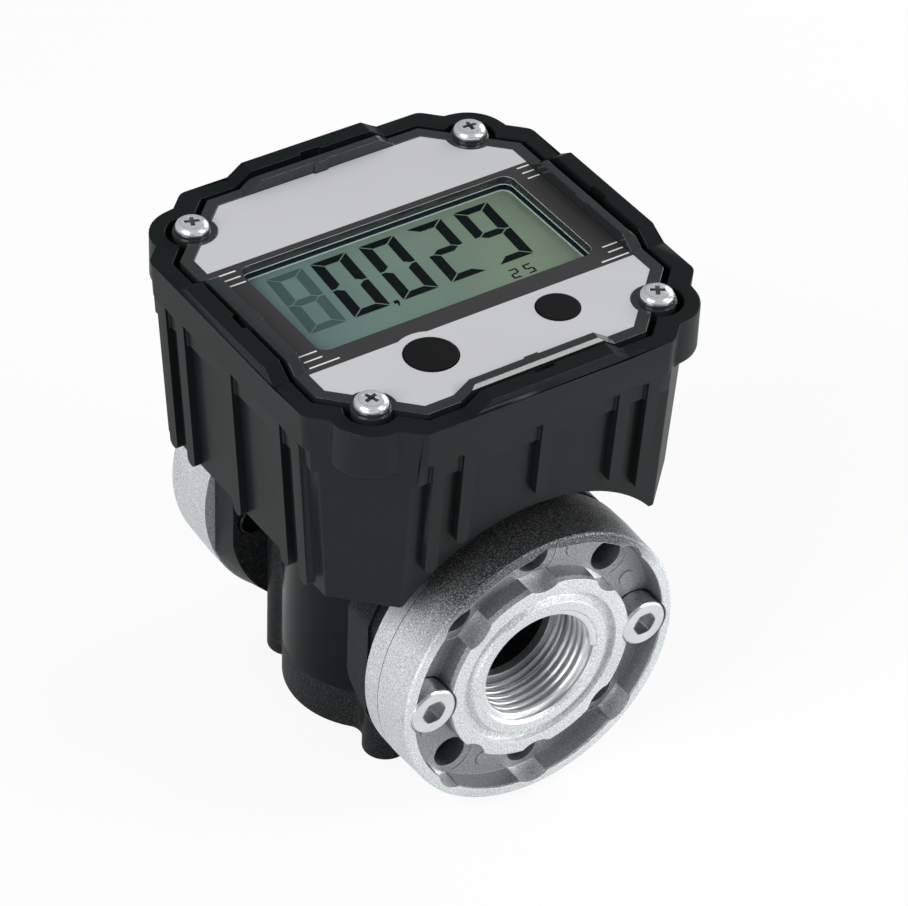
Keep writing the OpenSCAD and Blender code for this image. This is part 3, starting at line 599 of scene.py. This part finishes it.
# the turned form of one cover screw
def turnedHead():
    radius, edge, steps = coverScrew["radius"], coverScrew["edge"], coverScrew["steps"]
    profile = [(0, -coverScrew["length"]), (coverScrew["shank"], -coverScrew["length"]),
               (coverScrew["shank"], 0), (radius, 0)]
    for k in range(steps + 1):
        a = math.pi / 2 * k / steps
        rise = (coverScrew["dome"] - edge) * math.sin(a)
        profile.append((radius * math.cos(a) ** coverScrew["roundness"], edge + rise))
    form = bmesh.new()
    chain = [form.verts.new((x, 0, z)) for x, z in profile]
    edges = [form.edges.new(pair) for pair in zip(chain, chain[1:])]
    bmesh.ops.spin(form, geom=chain + edges, axis=(0, 0, 1), cent=(0, 0, 0),
                   angle=math.tau, steps=coverScrew["turns"], use_duplicate=False)
    bmesh.ops.remove_doubles(form, verts=form.verts, dist=rounding["merge"])
    bmesh.ops.recalc_face_normals(form, faces=form.faces)
    mesh = bpy.data.meshes.new("panHead")
    form.to_mesh(mesh)
    form.free()
    return mesh


# two blades, narrower at the bottom, that cut the cross recess
def crossBlade():
    form = bmesh.new()
    for turn in (0, 90):
        blade = bmesh.ops.create_cube(form, size=1)["verts"]
        for v in blade:
            taper = coverScrew["taper"] if v.co.z < 0 else 1.0
            v.co = Vector((v.co.x * coverScrew["reach"] * 2 * taper, v.co.y * coverScrew["slot"],
                           coverScrew["dome"] + v.co.z * coverScrew["deep"] * 2))
        turned = Matrix.Rotation(math.radians(turn), 3, "Z")
        bmesh.ops.rotate(form, verts=blade, cent=(0, 0, 0), matrix=turned)
    mesh = bpy.data.meshes.new("crossBlade")
    form.to_mesh(mesh)
    form.free()
    return mesh


def panHead():
    cutter = holderOf(crossBlade(), "crossBlade")
    holder = holderOf(turnedHead(), "panHead")
    carve = holder.modifiers.new("carve", "BOOLEAN")
    carve.object = cutter
    carve.operation = "DIFFERENCE"
    carve.solver = "EXACT"
    carve.use_self = True
    soft = holder.modifiers.new("soft", "BEVEL")
    soft.width = coverScrew["rounding"]
    soft.angle_limit = coverScrew["sharper"]
    mesh = bakedMesh(holder, "panHead")
    bpy.data.objects.remove(cutter)
    return mesh


# copies of one mesh at the four corners of a square, each at its own turn
def cornerTree():
    tree = PieceTree("cornerSet", {
        "Spread": "Float", "Middle": "Vector", "Seed": "Int", "Finish": "Material"})
    grid = tree.node("GeometryNodeMeshGrid", {}, {
        "Size X": tree.given("Spread"), "Size Y": tree.given("Spread"), "Vertices X": 2, "Vertices Y": 2})
    raised = tree.node("GeometryNodeTransform", {}, {"Geometry": grid, "Translation": tree.given("Middle")})
    turn = tree.node("FunctionNodeRandomValue", {"data_type": "FLOAT_VECTOR"}, {
        "Min": (0, 0, 0), "Max": (0, 0, math.pi / 2), "Seed": tree.given("Seed")})
    tree.close(tree.node("GeometryNodeInstanceOnPoints", {}, {
        "Points": raised, "Instance": tree.given("Geometry"), "Rotation": turn}))
    return tree


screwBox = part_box("cover_screws")
screwSet = cornerTree().grow("coverScrews", {
    "Spread": screwBox[1].x * 2 - 2 * coverScrew["radius"],
    "Middle": (0, registerY, screwBox[1].z - coverScrew["seat"]),
    "Seed": coverScrew["seed"], "Finish": finishes["headZinc"]}, panHead())
addPiece("coverScrews", screwSet, "headZinc", "meter", ("cover_screws",))
print("register parts made")


# face label: grey film, dark band with a bump round the large button, and tick marks
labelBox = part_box("face_label")
labelTop = labelBox[1].z
film = 0.03 * mm
softCopy("face_label", "faceLabel", "label", "meter", "label_film", film)

band = {"low": -23.2 * mm, "high": 23.9 * mm, "corner": 3 * mm, "button": (-18.0 * mm, -31.3 * mm),
        "bump": 9.1 * mm, "steps": 24, "window": ((-40.2 * mm, -17.35 * mm), (40.2 * mm, 21.9 * mm))}


def bandOutline():
    edge = labelBox[1].x
    lean = math.degrees(math.asin((band["low"] - band["button"][1]) / band["bump"]))
    points = [(edge, band["high"]), (-edge, band["high"]), (-edge, band["low"])]
    points += arc(band["button"], band["bump"], 180 - lean, lean, band["steps"])
    return points + [(edge, band["low"])]


bandHole = roundedOutline(*band["window"], band["corner"])
addPiece("labelBand", flatPlate("labelBand", [bandOutline(), bandHole], labelTop, labelTop + film),
         "band", "meter")


def tickTree():
    tree = PieceTree("tickRow", {
        "Count": "Int", "Step": "Float", "Size": "Vector", "Place": "Vector", "Finish": "Material"})
    reach = tree.node("ShaderNodeCombineXYZ", {}, {"Y": tree.given("Step")})
    line = tree.node("GeometryNodeMeshLine", {}, {
        "Count": tree.given("Count"), "Start Location": tree.given("Place"), "Offset": reach})
    bar = tree.node("GeometryNodeMeshCube", {}, {"Size": tree.given("Size")})
    tree.close(tree.node("GeometryNodeInstanceOnPoints", {}, {"Points": line, "Instance": bar}))
    return tree


# each row in millimetres: its ends, the place of its first mark, and how many marks
tick = {"width": 0.45 * mm, "step": -2.5 * mm, "margin": 0.4, "rows": [
    ((-45.9, -40.8), 21.5, 3), ((-45.9, -40.8), -16.2, 2), ((-45.9, -37.5), -21.25, 1),
    ((43.4, 48.3), 22.5, 3), ((42.5, 48.2), -16.7, 2), ((38.7, 48.1), -21.85, 1)]}
ticks = tickTree()
rows = []
for (left, right), y, count in tick["rows"]:
    right = min(right, labelBox[1].x / mm - tick["margin"])
    rows.append(ticks.grow("tickRow", {
        "Count": count, "Step": tick["step"], "Size": ((right - left) * mm, tick["width"], film),
        "Place": ((left + right) / 2 * mm, y * mm + registerY, labelTop + film * 1.5),  # on the band
        "Finish": finishes["whitePrint"]}))
addPiece("tickMarks", joined("tickMarks", rows), "whitePrint", "meter")

# display: seven-segment digits just above the glass, counted in places from the right, and a comma
# whose corners are in millimetres
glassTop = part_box("display_glass")[1].z
digits = {"width": 10.3 * mm, "height": 24.2 * mm, "slant": 2.0 * mm, "upright": 2.9 * mm,
          "level": 2.3 * mm, "gap": 0.28 * mm, "low": -5.5 * mm, "right": 19.4 * mm, "pitch": 14.15 * mm,
          "figures": [(3, "0"), (2, "0"), (1, "2"), (0, "9")], "ghost": [(3.9, "8")]}
smallDigits = {"width": 2.5 * mm, "height": 3.8 * mm, "slant": 0.35 * mm, "upright": 0.5 * mm,
               "level": 0.45 * mm, "gap": 0.08 * mm, "low": -12.3 * mm, "right": 23.6 * mm,
               "pitch": 4.3 * mm, "figures": [(1, "2"), (0, "5")]}
comma = [(-11.5, -4.6), (-10.2, -4.6), (-10.2, -5.6), (-10.9, -6.9), (-11.2, -6.9), (-10.9, -5.8),
         (-11.6, -5.8)]
segmentsOf = {"0": "abcdef", "2": "abged", "5": "afgcd", "8": "abcdefg", "9": "abcdfg"}


# outlines of one digit's bars, with mitred ends
def digitBars(shape, figure, left):
    w, h, u, v, gap = (shape[key] for key in ("width", "height", "upright", "level", "gap"))
    mid = h / 2
    bars = {
        "a": [(gap, h), (w - gap, h), (w - u - gap, h - v), (u + gap, h - v)],
        "d": [(gap, 0), (w - gap, 0), (w - u - gap, v), (u + gap, v)],
        "f": [(0, h - gap), (0, mid + gap), (u * 0.45, mid + gap), (u, mid + v / 2 + gap), (u, h - v - gap)],
        "e": [(0, gap), (0, mid - gap), (u * 0.45, mid - gap), (u, mid - v / 2 - gap), (u, v + gap)],
        "g": [(u * 0.55, mid), (u + gap, mid + v / 2), (w - u - gap, mid + v / 2),
              (w - u * 0.55, mid), (w - u - gap, mid - v / 2), (u + gap, mid - v / 2)]}
    bars["b"] = [(w - x, y) for x, y in bars["f"]]
    bars["c"] = [(w - x, y) for x, y in bars["e"]]
    lean = shape["slant"] / h
    outlines = [bars[name] for name in segmentsOf[figure]]
    return [[(left + x + y * lean, shape["low"] + y) for x, y in outline] for outline in outlines]


def figureRow(name, shape, figures, finish):
    low, high = glassTop + film, glassTop + film * 2
    outlines = []
    for place, figure in figures:
        outlines += digitBars(shape, figure, shape["right"] - shape["pitch"] * place)
    mesh = joined(name, [flatPlate(name, [line], low, high) for line in outlines])
    addPiece(name, mesh, finish, "meter")


figureRow("ghostDigit", digits, digits["ghost"], "ghost")
figureRow("largeDigits", digits, digits["figures"], "digit")
figureRow("smallDigits", smallDigits, smallDigits["figures"], "digit")
commaOutline = [(x * mm, y * mm) for x, y in comma]
addPiece("decimalComma", flatPlate("decimalComma", [commaOutline], glassTop + film, glassTop + film * 2),
         "digit", "meter")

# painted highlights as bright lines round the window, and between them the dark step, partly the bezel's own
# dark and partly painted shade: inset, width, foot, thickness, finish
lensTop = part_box("window_lens")[1].z
leastCorner = 0.5 * mm
windowEdge = {
    "windowOuterLine": (0.02 * mm, 0.22 * mm, lensTop, 0.1 * mm, "edgeGlass"),
    "windowStep": (-1.2 * mm, 1.9 * mm, glassTop, 0.2 * mm, "bezel"),
    "windowInnerLine": (0.7 * mm, 0.22 * mm, glassTop, 0.24 * mm, "edgeGlass")}
for name, (inset, width, foot, thick, finish) in windowEdge.items():
    (x0, y0), (x1, y1) = band["window"]
    loops = []
    for depth in (inset, inset + width):
        radius = max(band["corner"] - depth / 2, leastCorner)
        loops.append(roundedOutline((x0 + depth, y0 + depth), (x1 - depth, y1 - depth), radius))
    addPiece(name, flatPlate(name, loops, foot, foot + thick), finish, "meter")
print("face and display made")


# plain curved plate on the body's left lobe, from one angle to another in degrees
def bodyPlate():
    plate = {"middle": -11 * mm, "radius": 24.5 * mm, "stand": 0.12 * mm, "thick": 0.2 * mm, "from": 150,
             "to": 256, "low": 16 * mm, "high": 74 * mm, "corner": 2.2 * mm, "steps": 40}
    reach = math.radians(plate["to"] - plate["from"]) * plate["radius"]
    outline = roundedOutline((0, plate["low"]), (reach, plate["high"]), plate["corner"])
    mesh = flatPlate("bodyPlate", [outline], 0, plate["thick"], 0)
    form = bmesh.new()
    form.from_mesh(mesh)
    for k in range(1, plate["steps"]):
        cutPlace = (reach * k / plate["steps"], 0, 0)
        bmesh.ops.bisect_plane(form, geom=form.verts[:] + form.edges[:] + form.faces[:],
                               plane_co=cutPlace, plane_no=(1, 0, 0))
    for v in form.verts:
        a = math.radians(plate["from"]) + v.co.x / plate["radius"]
        out = plate["radius"] - plate["stand"] + v.co.z
        v.co = Vector((plate["middle"] + out * math.cos(a), registerY + out * math.sin(a), v.co.y))
    bmesh.ops.recalc_face_normals(form, faces=form.faces)
    form.to_mesh(mesh)
    form.free()
    return mesh


addPiece("bodyPlate", bodyPlate(), "plate", "meter")

# the nodes that keep their solids, and what they are finished in
kept = {"chamber_seal": "rubber", "inlet_seal": "rubber", "outlet_seal": "rubber", "cover_gasket": "rubber",
        "oval_gear_a": "gear", "oval_gear_b": "gear", "gear_pins": "ground", "gear_magnets": "magnet",
        "housing_screws": "zinc", "mounting_plate": "housing", "circuit_board": "board",
        "controller_chip": "chip", "display_glass": "display", "display_frame": "frameWhite",
        "battery_tray": "housing", "batteries": "sleeve", "battery_contacts": "contact",
        "pulse_sensor": "chip", "sensor_strip": "strip", "key_switches": "contact", "window_lens": "window"}
for node, finish in kept.items():
    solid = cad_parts[node]
    solid.data.materials.clear()
    solid.data.materials.append(finishes[finish])
print("kept nodes dressed:", len(kept))


# camera at the photograph's place, from the fitted view: angles in degrees, the focal length in
# pixels, the scale a plain factor and the rest in millimetres
view = {"azimuth": -34.98636, "elevation": 38.79927, "roll": 2.458844, "focal": 3939.7474,
        "slide": (-10.791571, -22.346837), "away": 1035.290609, "scale": 0.991, "lift": 43.1,
        "pixels": 908, "sensor": 36, "nearest": 10}


def addCamera():
    a, e, r = (math.radians(view[key]) for key in ("azimuth", "elevation", "roll"))
    back = Vector((math.sin(a) * math.cos(e), -math.cos(a) * math.cos(e), math.sin(e)))
    side = (-back).cross(Vector((0, 0, 1))).normalized()
    up = side.cross(-back)
    right = math.cos(r) * side + math.sin(r) * up
    top = -math.sin(r) * side + math.cos(r) * up
    place = right * -view["slide"][0] + top * -view["slide"][1] + back * view["away"]
    place = (place * view["scale"] + Vector((0, 0, view["lift"]))) * mm + Vector((0, registerY, 0))
    lens = bpy.data.cameras.new("camera")
    lens.sensor_width = view["sensor"]
    lens.sensor_fit = "HORIZONTAL"
    lens.lens = view["focal"] / view["pixels"] * view["sensor"]
    lens.clip_start = view["nearest"] * mm
    camera = bpy.data.objects.new("camera", lens)
    camera.matrix_world = Matrix.Translation(place) @ Matrix((right, top, back)).transposed().to_4x4()
    bpy.context.scene.collection.objects.link(camera)
    bpy.context.scene.camera = camera


# soft lamps, in metres and watts, all turned towards the middle of the meter
lampTarget = (0, 0, 0.07)
lamps = {
    "keyLamp": {"place": (-0.8, -0.15, 0.65), "size": (0.6, 0.6), "power": 7},
    "frontLamp": {"place": (0.72, -0.64, 0.1), "size": (0.5, 0.3), "power": 6.6},
    "lowLamp": {"place": (-0.85, -0.4, 0.03), "size": (0.5, 0.3), "power": 3.5},
    "edgeLamp": {"place": (0.48, -0.68, 0.76), "size": (0.35, 0.25), "power": 3},
    "rightLamp": {"place": (0.95, 0.3, 0.5), "size": (0.7, 0.4), "power": 4.5}}


def addLamp(name, place, size, power):
    lamp = bpy.data.lights.new(name, "AREA")
    lamp.shape = "RECTANGLE"
    lamp.size, lamp.size_y = size
    lamp.energy = power
    made = bpy.data.objects.new(name, lamp)
    made.location = place
    away = Vector(place) - Vector(lampTarget)
    made.rotation_euler = away.to_track_quat("Z", "Y").to_euler()
    bpy.context.scene.collection.objects.link(made)


# a pale floor that looks white to the camera and still takes the meter's shadow, under a white world
studio = {"reach": 3.0, "cloud": 60 * mm, "glow": 0.88, "fillColour": (0.95, 0.97, 1.0, 1), "fill": 0.36}
white = (1, 1, 1, 1)


def addFloor():
    paper = Finish("paperFloor", Roughness=0.9)
    paper.to("Base Color", paper.blend(paper.noise(studio["cloud"]), (238, 238, 238), (240, 240, 240)))
    cameraRay = paper.node("ShaderNodeLightPath", {}, {}, "Is Camera Ray")
    windowRay = paper.node("ShaderNodeLightPath", {}, {}, "Is Transmission Ray")
    glow = paper.node("ShaderNodeEmission", {}, {"Color": white, "Strength": 1.0})
    paper.surface(paper.node("ShaderNodeMixShader", {}, {
        0: cameraRay.most(windowRay) * studio["glow"], 1: Wire(paper, paper.shader.outputs[0]), 2: glow}))
    form = bmesh.new()
    bmesh.ops.create_grid(form, x_segments=2, y_segments=2, size=studio["reach"])
    mesh = bpy.data.meshes.new("floor")
    form.to_mesh(mesh)
    form.free()
    mesh.materials.append(paper.material)
    floor = bpy.data.objects.new("floor", mesh)
    bpy.context.scene.collection.objects.link(floor)


def addWorld():
    world = bpy.data.worlds.new("studio")
    world.use_nodes = True
    bpy.context.scene.world = world
    sky = NodePlan(world.node_tree)
    fill = sky.tree.nodes["Background"]
    sky.feed(fill.inputs["Color"], studio["fillColour"])
    sky.feed(fill.inputs["Strength"], studio["fill"])
    cameraRay = sky.node("ShaderNodeLightPath", {}, {}, "Is Camera Ray")
    backdrop = sky.node("ShaderNodeBackground", {}, {"Color": white})
    seen = sky.node("ShaderNodeMixShader", {}, {0: cameraRay, 1: Wire(sky, fill.outputs[0]), 2: backdrop})
    sky.feed(sky.tree.nodes["World Output"].inputs["Surface"], seen)


addCamera()
addFloor()
addWorld()
for name, lamp in lamps.items():
    addLamp(name, **lamp)
bpy.context.scene.view_settings.view_transform = "Standard"

print("scene ready")
